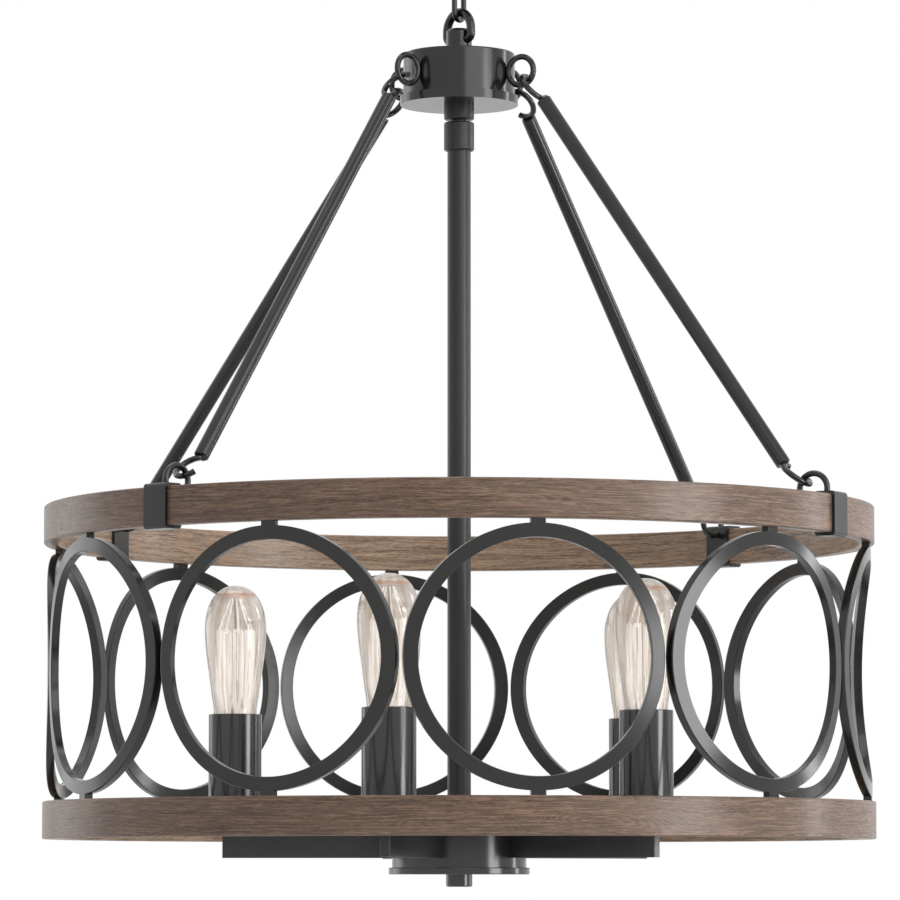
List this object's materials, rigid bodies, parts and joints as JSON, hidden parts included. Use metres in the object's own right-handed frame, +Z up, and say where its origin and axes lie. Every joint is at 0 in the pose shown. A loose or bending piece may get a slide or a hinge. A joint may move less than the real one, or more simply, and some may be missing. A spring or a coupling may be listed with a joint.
{
  "type": "drum chandelier",
  "caption": "Hanging drum chandelier: wooden hoops joined by a row of black rings, hung by hooked rods from a hub, with a cluster of upright bulbs inside.",
  "frame": {"origin": "in the ceiling plane, midway between the crossbar's two screw holes, on the hanging axis", "axes": "+Z up along the hanging axis towards the ceiling, -Y towards the viewer of the picture, +X to the picture's right"},
  "size_m": [0.5599, 0.56, 0.7124],
  "materials": {
    "black_metal": "satin black",
    "zinc_steel": "zinc plated",
    "weathered_oak": "weathered grey-brown oak, fine open grain",
    "insulator": "moulded",
    "lead_sleeve": "woven sleeve",
    "bulb_glass": "clear",
    "bulb_metal": "rolled thread",
    "filament": "clear stem with amber filaments"
  },
  "bodies": {
    "canopy": {"canopy": "black_metal", "crossbar": "zinc_steel", "canopy_nipple": "zinc_steel", "canopy_lock_nut": "zinc_steel", "canopy_loop": "black_metal"},
    "link_upper": {"chain_link_upper": "black_metal"},
    "link_lower": {"chain_link_lower": "black_metal"},
    "loop": {"hub_loop": "black_metal"},
    "fixture": {"hub_post": "black_metal", "hub_cup": "black_metal", "hub_plate": "black_metal", "hub_eyes": "black_metal", "hub_nipple": "zinc_steel", "lock_nuts": "zinc_steel", "terminal_rings": "insulator", "neck": "black_metal", "coupling": "black_metal", "downrod": "black_metal", "downrod_lead": "lead_sleeve", "wiring_box": "black_metal", "box_nipple": "zinc_steel", "box_cover": "black_metal", "finial": "black_metal", "arms": "black_metal", "arm_leads": "lead_sleeve", "socket_studs": "zinc_steel", "socket_covers": "black_metal", "lampholders": "insulator"},
    "cage": {"upper_hoop": "weathered_oak", "lower_hoop": "weathered_oak", "ring_01": "black_metal", "ring_02": "black_metal", "ring_03": "black_metal", "ring_04": "black_metal", "ring_05": "black_metal", "ring_06": "black_metal", "ring_07": "black_metal", "ring_08": "black_metal", "ring_09": "black_metal", "ring_10": "black_metal", "clamps": "black_metal"},
    "rod_1": {"rod_1": "black_metal"},
    "rod_2": {"rod_2": "black_metal"},
    "rod_3": {"rod_3": "black_metal"},
    "rod_4": {"rod_4": "black_metal"},
    "bulb_1": {"bulb_1_glass": "bulb_glass", "bulb_1_base": "bulb_metal", "bulb_1_filament": "filament"},
    "bulb_2": {"bulb_2_glass": "bulb_glass", "bulb_2_base": "bulb_metal", "bulb_2_filament": "filament"},
    "bulb_3": {"bulb_3_glass": "bulb_glass", "bulb_3_base": "bulb_metal", "bulb_3_filament": "filament"},
    "bulb_4": {"bulb_4_glass": "bulb_glass", "bulb_4_base": "bulb_metal", "bulb_4_filament": "filament"},
    "bulb_5": {"bulb_5_glass": "bulb_glass", "bulb_5_base": "bulb_metal", "bulb_5_filament": "filament"}
  },
  "joints": [
    {"name": "chain_top_swing", "type": "hinge", "parent": "canopy", "child": "link_upper", "pos_m": [0, 0, -0.0597], "axis": [0.5299, 0.848, 0], "range_deg": [-20, 20]},
    {"name": "chain_middle_swing", "type": "hinge", "parent": "link_upper", "child": "link_lower", "pos_m": [0, 0, -0.09115], "axis": [0.848, -0.5299, 0], "range_deg": [-20, 20]},
    {"name": "loop_swing", "type": "hinge", "parent": "link_lower", "child": "loop", "pos_m": [0, 0, -0.1232], "axis": [0.5299, 0.848, 0], "range_deg": [-20, 20]},
    {"name": "fixture_swing", "type": "hinge", "parent": "loop", "child": "fixture", "pos_m": [0, 0, -0.13695], "axis": [0.6428, -0.766, 0], "range_deg": [-20, 20]},
    {"name": "cage_twist", "type": "hinge", "parent": "fixture", "child": "cage", "pos_m": [0, 0, -0.45785], "axis": [0, 0, 1], "range_deg": [-5, 5], "stiffness_Nm_per_rad": 1.7},
    {"name": "rod_1_swing", "type": "hinge", "parent": "fixture", "child": "rod_1", "pos_m": [-0.03902, -0.0397, -0.16992], "axis": [-0.559, -0.5891, 0.5835], "range_deg": [-5, 5]},
    {"name": "rod_2_swing", "type": "hinge", "parent": "fixture", "child": "rod_2", "pos_m": [0.04721, -0.0295, -0.16992], "axis": [0.7156, -0.3837, 0.5837], "range_deg": [-5, 5]},
    {"name": "rod_3_swing", "type": "hinge", "parent": "fixture", "child": "rod_3", "pos_m": [0.0397, 0.03902, -0.16992], "axis": [0.559, 0.5891, 0.5835], "range_deg": [-5, 5]},
    {"name": "rod_4_swing", "type": "hinge", "parent": "fixture", "child": "rod_4", "pos_m": [-0.04357, 0.03465, -0.16992], "axis": [-0.7172, 0.3781, 0.5853], "range_deg": [-5, 5]},
    {"name": "bulb_1_lift", "type": "slide", "parent": "fixture", "child": "bulb_1", "axis": [0, 0, 1], "range_m": [0, 0.032]},
    {"name": "bulb_2_lift", "type": "slide", "parent": "fixture", "child": "bulb_2", "axis": [0, 0, 1], "range_m": [0, 0.032]},
    {"name": "bulb_3_lift", "type": "slide", "parent": "fixture", "child": "bulb_3", "axis": [0, 0, 1], "range_m": [0, 0.032]},
    {"name": "bulb_4_lift", "type": "slide", "parent": "fixture", "child": "bulb_4", "axis": [0, 0, 1], "range_m": [0, 0.032]},
    {"name": "bulb_5_lift", "type": "slide", "parent": "fixture", "child": "bulb_5", "axis": [0, 0, 1], "range_m": [0, 0.032]}
  ],
  "couplings": [
    {"joint": "rod_1_swing", "follows": "cage_twist", "ratio": 0.74659},
    {"joint": "rod_2_swing", "follows": "cage_twist", "ratio": 0.74636},
    {"joint": "rod_3_swing", "follows": "cage_twist", "ratio": 0.74654},
    {"joint": "rod_4_swing", "follows": "cage_twist", "ratio": 0.74469}
  ]
}
